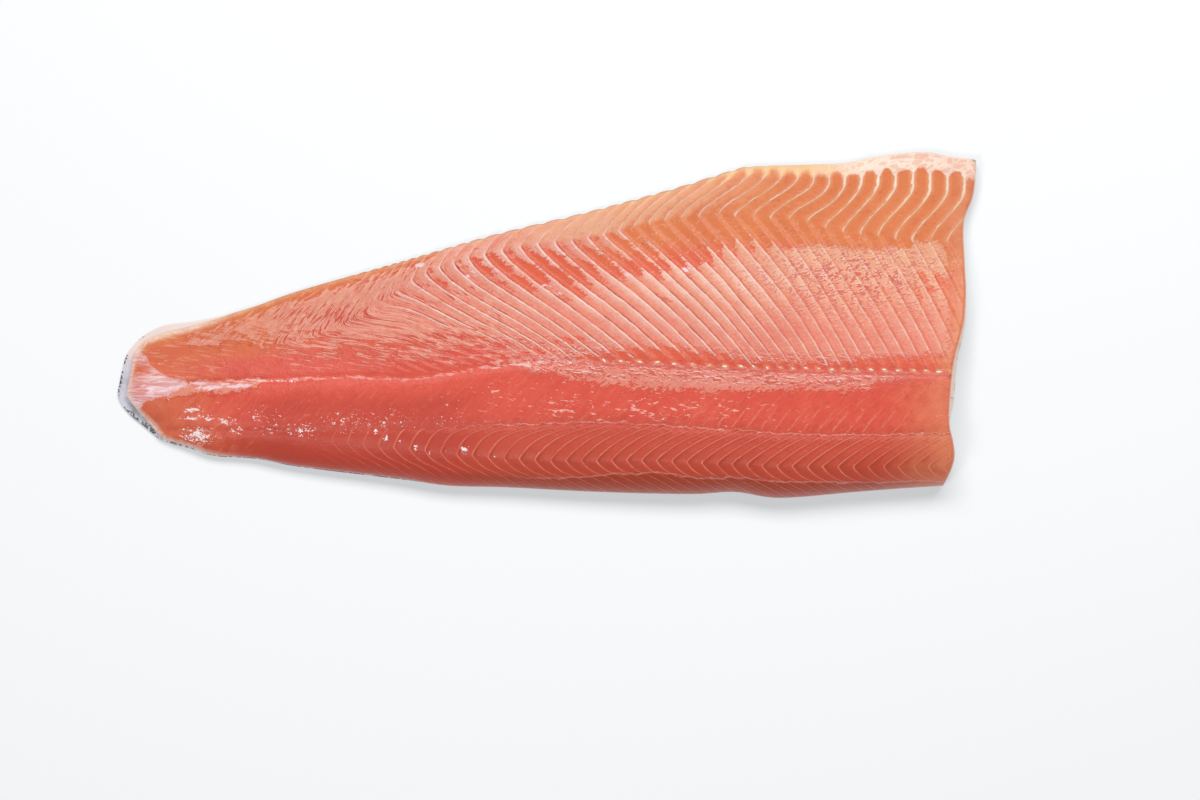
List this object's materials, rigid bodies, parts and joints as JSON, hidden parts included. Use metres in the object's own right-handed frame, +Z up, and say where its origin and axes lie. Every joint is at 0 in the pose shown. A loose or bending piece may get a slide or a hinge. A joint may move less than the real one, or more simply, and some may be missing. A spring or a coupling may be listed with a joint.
{
  "type": "trout fillet",
  "caption": "Raw side of trout, skin down: a long tapering slab of orange-red flesh with a thick loin, a thin belly flap, raised flakes and a thin silver skin",
  "frame": {"origin": "the middle of the fillet's length and width, on the surface that it lies on, under its skin", "axes": "+X runs from the tail to the cut at the head end, +Y from the back edge to the belly edge, +Z up from the skin to the cut flesh"},
  "size_m": [0.4601, 0.1856, 0.0293],
  "materials": {
    "flesh": "wet raw orange-red fish with pale lines of fat",
    "skin": "wet silver-grey fish skin with dark specks"
  },
  "bodies": {
    "root": {"flesh": "flesh", "skin": "skin"}
  },
  "joints": []
}
